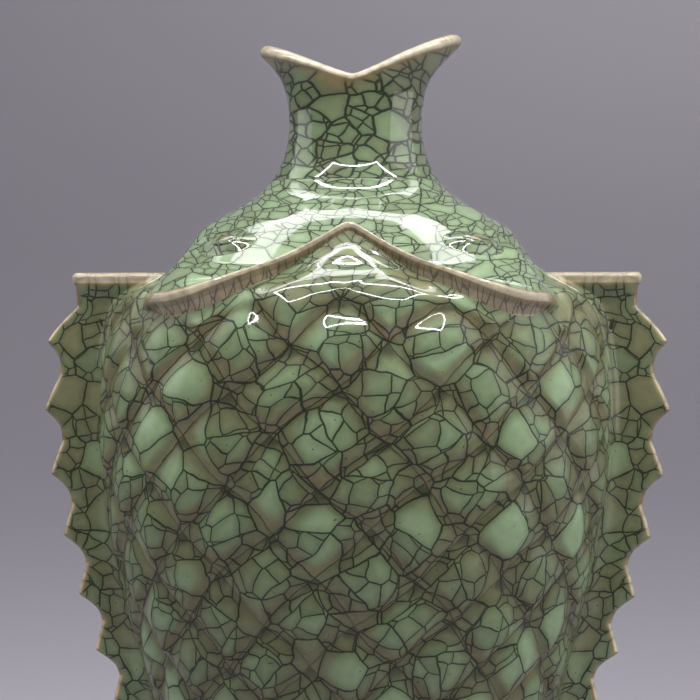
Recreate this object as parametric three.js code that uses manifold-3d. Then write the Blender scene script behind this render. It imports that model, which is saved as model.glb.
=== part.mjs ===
// A tall glazed vase in the form of two fish joined belly to belly, heads up and tails down.
// Millimetres, +Z up. The vase stands on z = 0, its front looks along -Y and the fish backs face -X and +X.
import * as THREE from "three";
import { mergeVertices } from "three/addons/utils/BufferGeometryUtils.js";
import Module from "manifold-3d";

const { degToRad, lerp, smoothstep } = THREE.MathUtils;
const wasm = await Module();
wasm.setup();

// Stations that the fish body passes through from the foot to the lip, each by its rise above the one before.
const FOOT_HEIGHT = 8;
const TAIL_WAIST_RISE = 35;
const LOWER_BELLY_RISE = 66;
const BELLY_RISE = 69;
const SHOULDER_EDGE_RISE = 32.5;
const SHOULDER_TOP_RISE = 7.9;
const SHOULDER_MIDDLE_RISE = 9.7;
const NECK_FOOT_RISE = 9.3;
const NECK_BEND_RISE = 7.8;
const NECK_WAIST_RISE = 10.8;
const FLARE_RISE = 12.6;
const LIP_RISE = 11.4;
const TAIL_WAIST_HEIGHT = FOOT_HEIGHT + TAIL_WAIST_RISE;
const LOWER_BELLY_HEIGHT = TAIL_WAIST_HEIGHT + LOWER_BELLY_RISE;
const BELLY_HEIGHT = LOWER_BELLY_HEIGHT + BELLY_RISE;
const SHOULDER_EDGE_HEIGHT = BELLY_HEIGHT + SHOULDER_EDGE_RISE;
const SHOULDER_TOP_HEIGHT = SHOULDER_EDGE_HEIGHT + SHOULDER_TOP_RISE;
const SHOULDER_MIDDLE_HEIGHT = SHOULDER_TOP_HEIGHT + SHOULDER_MIDDLE_RISE;
const NECK_FOOT_HEIGHT = SHOULDER_MIDDLE_HEIGHT + NECK_FOOT_RISE;
const NECK_BEND_HEIGHT = NECK_FOOT_HEIGHT + NECK_BEND_RISE;
const NECK_WAIST_HEIGHT = NECK_BEND_HEIGHT + NECK_WAIST_RISE;
const FLARE_HEIGHT = NECK_WAIST_HEIGHT + FLARE_RISE;
const LIP_HEIGHT = FLARE_HEIGHT + LIP_RISE;

// Half widths (left to right) and half depths (front to back) of the oval at each station.
const FOOT_OVAL = [43, 31];
const TAIL_WAIST_OVAL = [22, 17.5];
const LOWER_BELLY_OVAL = [49.3, 38.5];
const BELLY_OVAL = [63.6, 49.5];
const SHOULDER_EDGE_OVAL = [59.4, 46.3];
const SHOULDER_TOP_OVAL = [48.7, 38];
const SHOULDER_MIDDLE_OVAL = [35.5, 27.8];
const NECK_FOOT_OVAL = [20.9, 17.2];
const NECK_BEND_OVAL = [15.5, 13.2];
const NECK_WAIST_OVAL = [13.3, 11.6];
const FLARE_OVAL = [15.6, 12.6];
const LIP_OVAL = [25.4, 17];

// Walls.
const BODY_WALL = 4.5;
const HEAD_THICKNESS = 3.3;
const FLOOR_THICKNESS = 6;

// Mouth: each fish lifts one lobe of the rim, with a notch between them at front and back.
const RIM_NOTCH_DROP = 13.6;
const RIM_NOTCH_HEIGHT = LIP_HEIGHT - RIM_NOTCH_DROP;
const LOBE_RISE = 9.2;
const RIGHT_LOBE_EXTRA = 2.5;
const LOBE_CURVE = 1.4;

// Gill covers: the lower edge of the heads, as heights on the body under them.
const GILL_APEX_RISE = 8.2;
const GILL_DROP = 16.6;
const GILL_APEX_HEIGHT = SHOULDER_TOP_HEIGHT + GILL_APEX_RISE;
const GILL_DIP_HEIGHT = GILL_APEX_HEIGHT - GILL_DROP;
const GILL_DIP_ANGLE = degToRad(46);
const GILL_CORNER_ANGLE = degToRad(55);
const GILL_SIDE_ANGLE = degToRad(63);
const GILL_SWEEP = 1.6;
const GILL_APEX_ROUNDING = degToRad(3.5);
const GILL_BEAD_RISE = 0.7;
const GILL_BEAD_WIDTH = 2.4;
const GILL_SKIRT = 4.5;
const GILL_SKIRT_EDGE = 0.5;

// Where the pieces are luted together: the tail a little above its waist, and the neck above the gill covers.
const TAIL_JOINT_RISE = 3;
const NECK_JOINT_RISE = 13.4;
const TAIL_JOINT_HEIGHT = TAIL_WAIST_HEIGHT + TAIL_JOINT_RISE;
const NECK_JOINT_HEIGHT = GILL_APEX_HEIGHT + NECK_JOINT_RISE;
const SEAM = 0.3;
const SHELL_SEAM = 0.8;

// Scales: overlapping diamonds in staggered rows, each low at its top corner and high at its tip. The rows
// drift round the body a little from one to the next.
const SCALES_ROUND = 16;
const SCALE_ROWS = 16;
const SCALE_PITCH = 11.3;
const SCALE_ROW_SHRINK = 0.004;
const SCALE_DRIFT = degToRad(1.2);
const SCALE_FIRST_ROW_RISE = 2;
const SCALE_FIRST_ROW_HEIGHT = GILL_DIP_HEIGHT + SCALE_FIRST_ROW_RISE;
const SCALE_STEP = 1.3;
const SCALE_DOME = 0.9;
const SCALE_PIT = 0.5;
const SCALE_FADE = 6;
const ROWS_ABOVE_FIRST = 1;

// Dorsal fins: a flat top that stands above the dip of the gill covers, then teeth that close up downwards.
const FIN_TOP_RISE = 9.4;
const FIN_TOP_HEIGHT = GILL_DIP_HEIGHT + FIN_TOP_RISE;
const FIN_TOP_SETBACK = 4.4;
const FIN_LIP_HEIGHT = 2.2;
const FIN_LIP_OVERHANG = 0.9;
const FIN_FIRST_TOOTH = 17.4;
const FIN_FIRST_NOTCH = 5.2;
const FIN_TOOTH_PITCH = 17;
const FIN_PITCH_RATIO = 0.953;
const FIN_TEETH = 10;
const FIN_TOOTH_DEPTH = 4;
const FIN_REACH_TOP = 16.2;
const FIN_REACH_END = 8.2;
const FIN_ROOT_HALF_THICKNESS = 7;
const FIN_HALF_THICKNESS = 3.2;
const FIN_EDGE_HALF_THICKNESS = 0.9;
const FIN_BEVEL = 1.8;
const FIN_ROOT_DEPTH = 6;
const FIN_SLOT_CLEARANCE = 1;

// Eyes: a raised oval lid on the shoulder with a round pupil on it.
const EYE_RISE = 4.6;
const EYE_HEIGHT = SHOULDER_TOP_HEIGHT + EYE_RISE;
const EYE_ANGLE = degToRad(42);
const EYE_LID_SIZE = [6.8, 5.4, 2.5];
const PUPIL_RADIUS = 3.5;
const PUPIL_RISE = 1.3;

// Tail: shallow fin rays that run out to the foot.
const TAIL_RAYS = 20;
const TAIL_RAY_DEPTH = 1.1;

// Foot ring, which stands a little inside the tail.
const FOOT_RING_INSET = 1.5;
const FOOT_RING_WIDTH = 11;
const FOOT_RING_CHAMFER = 1;

// How finely the curved surfaces are divided.
const COLUMNS = 36;
const GILL_DIP_COLUMNS = 6;
const GILL_STEP_COLUMNS = 4;
const GILL_SLOT_COLUMNS = 2;
const BODY_ROWS = 9;
const FIN_SEAT_ROWS = 26;
const HEAD_ROWS = 6;
const HEAD_ROW_CROWDING = 2.1;
const COVERED_ROWS = 5;
const NECK_ROWS = 5;
const TAIL_ROWS = 4;
const SCALE_LINES = [0, 0.42, 0.86];
const TOOTH_LINES = [0, 0.2, 0.46];

const glaze = (color, roughness) => new THREE.MeshStandardMaterial({ color, roughness, metalness: 0 });
const MOUTH_GLAZE = glaze(0x93a283, 0.16);
const HEAD_GLAZE = glaze(0x9db391, 0.14);
const SCALE_GLAZE = glaze(0x7f9a7c, 0.2);
const TAIL_GLAZE = glaze(0x7b9377, 0.2);
const FIN_GLAZE = glaze(0x858a66, 0.22);
const EYE_LID_GLAZE = glaze(0xa3b495, 0.14);
const PUPIL_GLAZE = glaze(0x6d5f45, 0.18);
const BARE_CLAY = glaze(0x5b4235, 0.75);
const FLOOR_GLAZE = glaze(0x7d8f76, 0.3);

// The fish body's line: x is the half width, y the half depth and z the height.
const station = ([halfWidth, halfDepth], height) => new THREE.Vector3(halfWidth, halfDepth, height);
const bodyLine = new THREE.CatmullRomCurve3(
  [
    station(FOOT_OVAL, FOOT_HEIGHT),
    station(TAIL_WAIST_OVAL, TAIL_WAIST_HEIGHT),
    station(LOWER_BELLY_OVAL, LOWER_BELLY_HEIGHT),
    station(BELLY_OVAL, BELLY_HEIGHT),
    station(SHOULDER_EDGE_OVAL, SHOULDER_EDGE_HEIGHT),
    station(SHOULDER_TOP_OVAL, SHOULDER_TOP_HEIGHT),
    station(SHOULDER_MIDDLE_OVAL, SHOULDER_MIDDLE_HEIGHT),
    station(NECK_FOOT_OVAL, NECK_FOOT_HEIGHT),
    station(NECK_BEND_OVAL, NECK_BEND_HEIGHT),
    station(NECK_WAIST_OVAL, NECK_WAIST_HEIGHT),
    station(FLARE_OVAL, FLARE_HEIGHT),
    station(LIP_OVAL, LIP_HEIGHT),
  ],
  false,
  "centripetal",
);
bodyLine.arcLengthDivisions = 600;
const lineLength = bodyLine.getLength();

// How far along the body's line, from 0 to 1, a height lies.
function alongAt(height) {
  let low = 0;
  let high = 1;
  for (let i = 0; i < 30; i++) {
    const middle = (low + high) / 2;
    if (bodyLine.getPointAt(middle).z < height) low = middle;
    else high = middle;
  }
  return (low + high) / 2;
}

// A point of the body's skin, lifted off it along its outward normal.
function skinPoint(along, angle, lift = 0) {
  const { x: halfWidth, y: halfDepth, z } = bodyLine.getPointAt(along);
  const rise = bodyLine.getTangentAt(along);
  const c = Math.cos(angle);
  const s = Math.sin(angle);
  const normal = new THREE.Vector3(
    halfDepth * c * rise.z,
    halfWidth * s * rise.z,
    -(halfWidth * rise.y * s * s + halfDepth * rise.x * c * c),
  ).normalize();
  return new THREE.Vector3(halfWidth * c, halfDepth * s, z).addScaledVector(normal, lift);
}

// The angle from the seam between the two fish, at front or back: 0 there and a right angle at a fin.
const angleFromSeam = (angle) => Math.asin(Math.min(1, Math.abs(Math.cos(angle))));

// Height of the gill covers' edge: a rounded peak at the seam, a dip, then a step up to the fin's flat top.
function gillHeight(angle) {
  const away = angleFromSeam(angle);
  const rounded = (turn) => Math.hypot(turn, GILL_APEX_ROUNDING) - GILL_APEX_ROUNDING;
  const toDip = Math.max(0, 1 - rounded(away) / rounded(GILL_DIP_ANGLE));
  const swept = lerp(GILL_DIP_HEIGHT, GILL_APEX_HEIGHT, toDip ** GILL_SWEEP);
  return lerp(swept, FIN_TOP_HEIGHT, smoothstep(away, GILL_CORNER_ANGLE, GILL_SIDE_ANGLE));
}

// Height of the rim: lowest in the notches and highest at the two lobes.
function rimHeight(angle) {
  const sideways = Math.abs(Math.cos(angle));
  const rise = Math.cos(angle) > 0 ? LOBE_RISE + RIGHT_LOBE_EXTRA : LOBE_RISE;
  return RIM_NOTCH_HEIGHT + rise * sideways ** LOBE_CURVE;
}

// A closed solid from points and the triangles between them, with its faces pointing out.
function solidOf(positions, triangles) {
  const geometry = new THREE.BufferGeometry();
  geometry.setAttribute("position", new THREE.Float32BufferAttribute(positions, 3));
  geometry.setIndex(triangles);
  return solidOfGeometry(geometry);
}

function solidOfGeometry(geometry) {
  geometry.deleteAttribute("normal");
  geometry.deleteAttribute("uv");
  const merged = mergeVertices(geometry, 1e-4);
  const triVerts = new Uint32Array(merged.index.array);
  const vertProperties = merged.attributes.position.array;
  const solid = new wasm.Manifold(new wasm.Mesh({ numProp: 3, vertProperties, triVerts }));
  if (solid.volume() > 0) return solid;
  for (let i = 0; i < triVerts.length; i += 3) {
    [triVerts[i + 1], triVerts[i + 2]] = [triVerts[i + 2], triVerts[i + 1]];
  }
  return new wasm.Manifold(new wasm.Mesh({ numProp: 3, vertProperties, triVerts }));
}

// Skins a row of closed loops of equally many points. A ring's last loop joins its first one,
// and the ends of any other row are closed by a fan round their middle.
function solidOfLoops(loops, { ring = false } = {}) {
  const count = loops[0].length;
  const points = loops.flat();
  const triangles = [];
  const last = ring ? loops.length : loops.length - 1;
  for (let i = 0; i < last; i++) {
    const next = (i + 1) % loops.length;
    for (let j = 0; j < count; j++) {
      const k = (j + 1) % count;
      triangles.push(i * count + j, next * count + j, next * count + k);
      triangles.push(i * count + j, next * count + k, i * count + k);
    }
  }
  if (!ring) {
    for (const [loop, start, turned] of [
      [loops[0], 0, false],
      [loops.at(-1), points.length - count, true],
    ]) {
      const middle = loop.reduce((sum, p) => sum.add(p), new THREE.Vector3()).divideScalar(count);
      const hub = points.push(middle) - 1;
      for (let j = 0; j < count; j++) {
        const k = (j + 1) % count;
        triangles.push(hub, start + (turned ? k : j), start + (turned ? j : k));
      }
    }
  }
  return solidOf(points.flatMap((p) => p.toArray()), triangles);
}

const steps = (count) => Array.from({ length: count }, (_, i) => i);
const turn = (i, count) => (i / count) * 2 * Math.PI;

// Everything inside the body's skin between two places on its line, with its surface lifted.
function coreSolid(fromAlong, toAlong, rows, lift) {
  return solidOfLoops(
    steps(rows + 1).map((row) =>
      steps(COLUMNS).map((i) => skinPoint(lerp(fromAlong, toAlong, row / rows), turn(i, COLUMNS), lift)),
    ),
  );
}

// The cutting blocks reach past the vase on every side.
const REACH = LIP_HEIGHT;

// All space between two heights, or its part on one side of the seam between the two fish.
function slab(fromHeight, toHeight, side = 0) {
  const width = side === 0 ? 2 * REACH : REACH;
  const box = new THREE.BoxGeometry(width, 2 * REACH, toHeight - fromHeight);
  box.translate((side * REACH) / 2, 0, (fromHeight + toHeight) / 2);
  return solidOfGeometry(box);
}

// Body with its scales.

// How strongly the scales stand out: not under the gill covers, beside a fin or at the tail's joint.
function scaleStrength(along, angle) {
  const point = skinPoint(along, angle);
  const belowGill = gillHeight(angle) - point.z;
  const aboveTail = point.z - TAIL_JOINT_HEIGHT;
  const beside = Math.abs(point.y) - FIN_ROOT_HALF_THICKNESS;
  return (
    smoothstep(belowGill, GILL_SKIRT, GILL_SKIRT + SCALE_FADE) *
    smoothstep(aboveTail, 0, SCALE_FADE) *
    smoothstep(beside, 1, SCALE_FADE)
  );
}

// A scale's lift at a place in its diamond, whose two coordinates run from its upper edges to its lower ones.
function scaleLift(a, b) {
  const dome = Math.sin(Math.PI * a) * Math.sin(Math.PI * b);
  return SCALE_STEP * Math.min(a, b) + SCALE_DOME * dome - SCALE_PIT;
}

// The scales lie on a lattice of slanting lines. Its points are in level rings, each ring half a step
// round from the one above, and every line across a diamond is moved towards the diamond's lower edge.
function scaledSkin() {
  const lines = SCALE_LINES.length;
  const round = SCALES_ROUND * lines;
  const firstAlong = alongAt(SCALE_FIRST_ROW_HEIGHT);
  const topAlong = alongAt(NECK_JOINT_HEIGHT + HEAD_THICKNESS);
  const bottomAlong = alongAt(TAIL_JOINT_HEIGHT - HEAD_THICKNESS);
  const place = (index) => {
    const diamond = Math.floor(index / lines);
    return [diamond, SCALE_LINES[index - diamond * lines]];
  };
  const alongOfRow = (row) => {
    const shrunk = row > 0 ? row * (1 - (SCALE_ROW_SHRINK * row) / 2) : row;
    return firstAlong - (shrunk * SCALE_PITCH) / lineLength;
  };
  const latticePoint = (ring, step) => {
    const [aDiamond, a] = place((ring + step) / 2);
    const [bDiamond, b] = place((ring - step) / 2);
    const row = aDiamond + a + bDiamond + b;
    const sideways = ((aDiamond + a - bDiamond - b) * Math.PI) / SCALES_ROUND;
    const angle = sideways - SCALE_DRIFT * row - Math.PI / 2;
    const along = alongOfRow(row);
    return skinPoint(along, angle, scaleLift(a, b) * scaleStrength(along, angle));
  };
  const plainRing = (ring, along) => {
    const start = -(SCALE_DRIFT * ring) / lines - Math.PI / 2;
    return steps(round).map((i) => skinPoint(along, turn(i + (ring % 2 === 0 ? 0 : 0.5), round) + start));
  };

  const firstRing = -ROWS_ABOVE_FIRST * lines;
  const lastRing = SCALE_ROWS * lines;
  const rings = [];
  for (let ring = firstRing; ring <= lastRing; ring++) {
    const odd = Math.abs(ring % 2);
    rings.push(steps(round).map((i) => latticePoint(ring, 2 * i + odd)));
  }
  const upper = alongOfRow(-ROWS_ABOVE_FIRST);
  const above = steps(COVERED_ROWS).map((i) =>
    plainRing(firstRing - COVERED_ROWS + i, lerp(topAlong, upper, i / COVERED_ROWS)),
  );
  const below = [plainRing(lastRing + 1, Math.min(bottomAlong, alongOfRow(SCALE_ROWS + 0.5)))];
  return { rings: [...above, ...rings, ...below], firstIndex: firstRing - COVERED_ROWS };
}

// Skins level rings whose points are half a step round from ring to ring.
function solidOfStaggeredRings({ rings, firstIndex }) {
  const count = rings[0].length;
  const points = rings.flat();
  const triangles = [];
  for (let r = 0; r + 1 < rings.length; r++) {
    const shifted = Math.abs((firstIndex + r) % 2) === 1;
    for (let i = 0; i < count; i++) {
      const next = (i + 1) % count;
      const upper = r * count;
      const lower = upper + count;
      if (shifted) {
        triangles.push(upper + i, lower + i, lower + next);
        triangles.push(upper + i, lower + next, upper + next);
      } else {
        triangles.push(upper + i, lower + i, upper + next);
        triangles.push(upper + next, lower + i, lower + next);
      }
    }
  }
  for (const [start, turned] of [
    [0, false],
    [points.length - count, true],
  ]) {
    const hub = points.push(new THREE.Vector3(0, 0, points[start].z)) - 1;
    for (let i = 0; i < count; i++) {
      const next = (i + 1) % count;
      triangles.push(hub, start + (turned ? next : i), start + (turned ? i : next));
    }
  }
  return solidOf(points.flatMap((p) => p.toArray()), triangles);
}

// The hollow inside the vase, which the body, the tail and the floor share.
const cavity = coreSolid(0, alongAt(NECK_JOINT_HEIGHT + BODY_WALL), BODY_ROWS, -BODY_WALL);

function bodyShell() {
  return solidOfStaggeredRings(scaledSkin())
    .intersect(slab(TAIL_JOINT_HEIGHT, NECK_JOINT_HEIGHT))
    .subtract(cavity);
}

// Angles all the way round, from the front seam, with columns on the corners of the gill covers.
function gillColumns() {
  const quarter = [
    [0, GILL_CORNER_ANGLE, GILL_DIP_COLUMNS],
    [GILL_CORNER_ANGLE, GILL_SIDE_ANGLE, GILL_STEP_COLUMNS],
    [GILL_SIDE_ANGLE, Math.PI / 2, GILL_SLOT_COLUMNS],
  ].flatMap(([from, to, count]) => steps(count).map((i) => lerp(from, to, i / count)));
  const toSide = quarter.map((away) => away - Math.PI / 2);
  const toBack = [...quarter.slice(1), Math.PI / 2].reverse().map((away) => Math.PI / 2 - away);
  const rightHalf = [...toSide, ...toBack];
  return [...rightHalf, ...rightHalf.map((angle) => angle + Math.PI)];
}

// Heads: a shell over the body's shoulder that ends in the beaded edge of the gill covers,
// with a hollow-curved skirt from the bead down to the body.
function headShell() {
  const topAlong = alongAt(NECK_JOINT_HEIGHT + HEAD_THICKNESS);
  const bead = GILL_BEAD_WIDTH / lineLength;
  const skirt = GILL_SKIRT / lineLength;
  const sections = gillColumns().map((angle) => {
    const edgeAlong = alongAt(gillHeight(angle));
    const rowAlong = (fromEdge, row) => {
      const crowded = (row / HEAD_ROWS) ** HEAD_ROW_CROWDING;
      return lerp(edgeAlong + fromEdge, topAlong, crowded);
    };
    const outer = steps(HEAD_ROWS + 1).map((row) =>
      skinPoint(rowAlong(bead, HEAD_ROWS - row), angle, HEAD_THICKNESS),
    );
    const edge = [
      skinPoint(edgeAlong + bead / 2, angle, HEAD_THICKNESS + GILL_BEAD_RISE),
      skinPoint(edgeAlong, angle, HEAD_THICKNESS),
      skinPoint(edgeAlong - skirt / 4, angle, HEAD_THICKNESS / 2),
      skinPoint(edgeAlong - skirt, angle, SHELL_SEAM + GILL_SKIRT_EDGE),
    ];
    const inner = steps(HEAD_ROWS + 1).map((row) => skinPoint(rowAlong(-skirt, row), angle, SHELL_SEAM));
    return [...outer, ...edge, ...inner];
  });
  const finSlot = new THREE.BoxGeometry(2 * REACH, 2 * (FIN_ROOT_HALF_THICKNESS + FIN_SLOT_CLEARANCE), REACH);
  finSlot.translate(0, 0, FIN_TOP_HEIGHT + SEAM - REACH / 2);
  return solidOfLoops(sections, { ring: true })
    .intersect(slab(0, NECK_JOINT_HEIGHT))
    .subtract(solidOfGeometry(finSlot));
}

// Mouth: the neck narrows above the joint and flares into the two lobes of a rounded rim.
function mouthShell() {
  const footAlong = alongAt(NECK_JOINT_HEIGHT - BODY_WALL);
  const jointAlong = alongAt(NECK_JOINT_HEIGHT);
  const waistAlong = alongAt(NECK_WAIST_HEIGHT);
  const innerLift = (along) => -BODY_WALL * (1 - smoothstep(along, jointAlong, waistAlong));
  const sections = steps(COLUMNS).map((i) => {
    const angle = turn(i, COLUMNS) - Math.PI / 2;
    const lipAlong = alongAt(rimHeight(angle));
    const alongOf = (row) => lerp(footAlong, lipAlong, row / NECK_ROWS);
    const outer = steps(NECK_ROWS + 1).map((row) => skinPoint(alongOf(row), angle, HEAD_THICKNESS));
    const tip = lipAlong + HEAD_THICKNESS / 2 / lineLength;
    const lip = skinPoint(Math.min(1, tip), angle, HEAD_THICKNESS / 2);
    const inner = steps(NECK_ROWS + 1).map((row) => {
      const along = alongOf(NECK_ROWS - row);
      return skinPoint(along, angle, innerLift(along));
    });
    return [...outer, lip, ...inner];
  });
  const { max } = new THREE.Box3().setFromPoints(sections.flat());
  return solidOfLoops(sections, { ring: true }).intersect(slab(NECK_JOINT_HEIGHT, max.z + REACH));
}

// Tail: both tail fins spread into the foot, with rays that fade out towards the waist.
function tailShell() {
  const topAlong = alongAt(TAIL_JOINT_HEIGHT + SEAM);
  const columns = 2 * TAIL_RAYS;
  const rings = steps(TAIL_ROWS + 1).map((row) => {
    const along = lerp(0, topAlong, row / TAIL_ROWS);
    const depth = TAIL_RAY_DEPTH * (1 - smoothstep(row / TAIL_ROWS, 0, 1));
    return steps(columns).map((i) => skinPoint(along, turn(i, columns), i % 2 === 0 ? 0 : -depth));
  });
  return solidOfLoops(rings).intersect(slab(FOOT_HEIGHT, TAIL_JOINT_HEIGHT)).subtract(cavity);
}

// An oval disc that fills the hollow inside the tail and rests on the foot ring.
function vaseFloor() {
  const room = coreSolid(0, alongAt(FOOT_HEIGHT + 2 * FLOOR_THICKNESS), 1, -BODY_WALL - SHELL_SEAM);
  return room.intersect(slab(FOOT_HEIGHT, FOOT_HEIGHT + FLOOR_THICKNESS));
}

function oval(halfWidth, halfDepth) {
  const curve = new THREE.EllipseCurve(0, 0, halfWidth, halfDepth, 0, 2 * Math.PI);
  return curve.getPoints(COLUMNS / 2).slice(0, -1);
}

// The unglazed ring under the tail, chamfered where it meets the ground.
function footRing() {
  const [halfWidth, halfDepth] = FOOT_OVAL.map((half) => half - FOOT_RING_INSET);
  const shrunk = (by, height) => oval(halfWidth - by, halfDepth - by).map(({ x, y }) => [x, y, height]);
  const faces = [
    shrunk(0, FOOT_HEIGHT),
    shrunk(0, FOOT_RING_CHAMFER),
    shrunk(FOOT_RING_CHAMFER, 0),
    shrunk(FOOT_RING_WIDTH - FOOT_RING_CHAMFER, 0),
    shrunk(FOOT_RING_WIDTH, FOOT_RING_CHAMFER),
    shrunk(FOOT_RING_WIDTH, FOOT_HEIGHT),
  ];
  const sections = faces[0].map((_, i) => faces.map((face) => new THREE.Vector3(...face[i])));
  return solidOfLoops(sections, { ring: true });
}

// Right dorsal fin.

// How deep the notch under a tooth's tip is: the last line is the deepest, and a straight flank follows it.
const toothNotch = (line) => Math.sin((Math.PI / 2) * (line / TOOTH_LINES.at(-1)));

// The fin's edge from top to tail, as heights and how far the edge stands back from the teeth's tips.
function finEdge() {
  const stops = [
    [FIN_TOP_HEIGHT, FIN_TOP_SETBACK + FIN_LIP_OVERHANG / 2],
    [FIN_TOP_HEIGHT - FIN_LIP_HEIGHT / 2, FIN_TOP_SETBACK],
    [FIN_TOP_HEIGHT - FIN_LIP_HEIGHT, FIN_TOP_SETBACK + FIN_LIP_OVERHANG],
    [FIN_TOP_HEIGHT - FIN_FIRST_TOOTH / 2, FIN_FIRST_NOTCH],
  ];
  let tip = FIN_TOP_HEIGHT - FIN_FIRST_TOOTH;
  let pitch = FIN_TOOTH_PITCH;
  for (let tooth = 0; tooth < FIN_TEETH; tooth++) {
    for (const line of TOOTH_LINES) stops.push([tip - line * pitch, FIN_TOOTH_DEPTH * toothNotch(line)]);
    tip -= pitch;
    pitch *= FIN_PITCH_RATIO;
  }
  stops.push([tip, 0], [tip - pitch / 2, FIN_REACH_END - FIN_BEVEL]);
  return stops;
}

// A level section at each stop. The root follows the shoulder in, and the edge runs straight up beside it.
function dorsalFin() {
  const stops = finEdge();
  const lowest = stops.at(-1)[0];
  const sections = stops.map(([height, notch]) => {
    const { x: root } = skinPoint(alongAt(height), 0);
    const { x: side } = skinPoint(alongAt(Math.min(height, SHOULDER_EDGE_HEIGHT)), 0);
    const down = (FIN_TOP_HEIGHT - height) / (FIN_TOP_HEIGHT - lowest);
    const edge = side + Math.max(FIN_BEVEL, lerp(FIN_REACH_TOP, FIN_REACH_END, down) - notch);
    const thinning = lerp(1, FIN_REACH_END / FIN_REACH_TOP, down);
    const fillet = FIN_ROOT_HALF_THICKNESS - FIN_HALF_THICKNESS;
    const profile = [
      [root - FIN_ROOT_DEPTH, FIN_ROOT_HALF_THICKNESS],
      [root + fillet / 3, FIN_HALF_THICKNESS + fillet / 2],
      [root + fillet, FIN_HALF_THICKNESS],
      [edge - FIN_BEVEL, FIN_HALF_THICKNESS],
      [edge, FIN_EDGE_HALF_THICKNESS],
    ].map(([out, half]) => new THREE.Vector3(Math.min(out, edge), -half * thinning, height));
    const mirrored = profile.map((p) => new THREE.Vector3(p.x, -p.y, p.z)).reverse();
    return [...profile, ...mirrored];
  });
  const bottomAlong = alongAt(lowest - FIN_ROOT_DEPTH);
  const seat = coreSolid(bottomAlong, alongAt(FIN_TOP_HEIGHT + FIN_ROOT_DEPTH), FIN_SEAT_ROWS, SHELL_SEAM);
  return solidOfLoops(sections).subtract(seat);
}

// Front right eye: both its parts are cut to sit on what is under them.

const eyeAlong = alongAt(EYE_HEIGHT);
const eyeAngle = EYE_ANGLE - Math.PI / 2;

// What the heads fill, grown by the seam: an eye's underside is cut to it.
const shoulder = coreSolid(
  alongAt(GILL_DIP_HEIGHT),
  alongAt(NECK_JOINT_HEIGHT),
  2 * HEAD_ROWS,
  HEAD_THICKNESS + SEAM,
);

// A rounded button on the head, with its half width, half length and rise.
function button([halfWidth, halfLength, rise], lift) {
  const centre = skinPoint(eyeAlong, eyeAngle, lift);
  const out = skinPoint(eyeAlong, eyeAngle, lift + 1).sub(centre);
  const sideways = skinPoint(eyeAlong, eyeAngle + 0.01, lift).sub(centre).normalize();
  const upwards = new THREE.Vector3().crossVectors(out, sideways);
  const ball = new THREE.SphereGeometry(1, 12, 6).rotateX(Math.PI / 2);
  ball.scale(halfWidth, halfLength, rise);
  ball.applyMatrix4(new THREE.Matrix4().makeBasis(sideways, upwards, out).setPosition(centre));
  return solidOfGeometry(ball);
}

function eyeLid() {
  return button(EYE_LID_SIZE, HEAD_THICKNESS).subtract(shoulder);
}

function pupil() {
  const [halfWidth, halfLength, rise] = EYE_LID_SIZE;
  const grown = [halfWidth + SEAM, halfLength + SEAM, rise + SEAM];
  const bead = button([PUPIL_RADIUS, PUPIL_RADIUS, rise + PUPIL_RISE], HEAD_THICKNESS);
  return bead.subtract(button(grown, HEAD_THICKNESS)).subtract(shoulder);
}

// The scene graph.

const vase = new THREE.Group();

function addPiece(name, solid, material) {
  const { vertProperties, triVerts } = solid.getMesh();
  const geometry = new THREE.BufferGeometry();
  geometry.setAttribute("position", new THREE.BufferAttribute(vertProperties, 3));
  geometry.setIndex(new THREE.BufferAttribute(triVerts, 1));
  geometry.computeVertexNormals();
  const mesh = new THREE.Mesh(geometry, material);
  mesh.name = name;
  vase.add(mesh);
  return mesh;
}

const SIDES = [
  ["left", -1],
  ["right", 1],
];
const FACES = [
  ["front", 1],
  ["back", -1],
];

// Each shell is two halves, one for each fish, which meet at the seam.
for (const [piece, shell, material] of [
  ["mouth", mouthShell(), MOUTH_GLAZE],
  ["head", headShell(), HEAD_GLAZE],
  ["scaled_body", bodyShell(), SCALE_GLAZE],
  ["tail", tailShell(), TAIL_GLAZE],
]) {
  for (const [side, sign] of SIDES) {
    addPiece(`${side}_fish_${piece}`, shell.intersect(slab(-REACH, 2 * REACH, sign)), material);
  }
}

const fin = dorsalFin();
const lid = eyeLid();
const bead = pupil();
for (const [side, sign] of SIDES) {
  addPiece(`${side}_dorsal_fin`, fin, FIN_GLAZE).scale.x = sign;
  for (const [face, faceSign] of FACES) {
    addPiece(`${side}_${face}_eye_lid`, lid, EYE_LID_GLAZE).scale.set(sign, faceSign, 1);
    addPiece(`${side}_${face}_pupil`, bead, PUPIL_GLAZE).scale.set(sign, faceSign, 1);
  }
}

addPiece("vase_floor", vaseFloor(), FLOOR_GLAZE);
addPiece("foot_ring", footRing(), BARE_CLAY);

export default vase;
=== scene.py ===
"""The looks of a celadon vase of two fish joined belly to belly, under a crackle glaze.

Everything is placed in millimetres on the vase's own skin and turned into metres as a piece's grid is laid.
+Z is up, the front seam faces -Y, and the fish backs face -X and +X.
"""

import math

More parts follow.
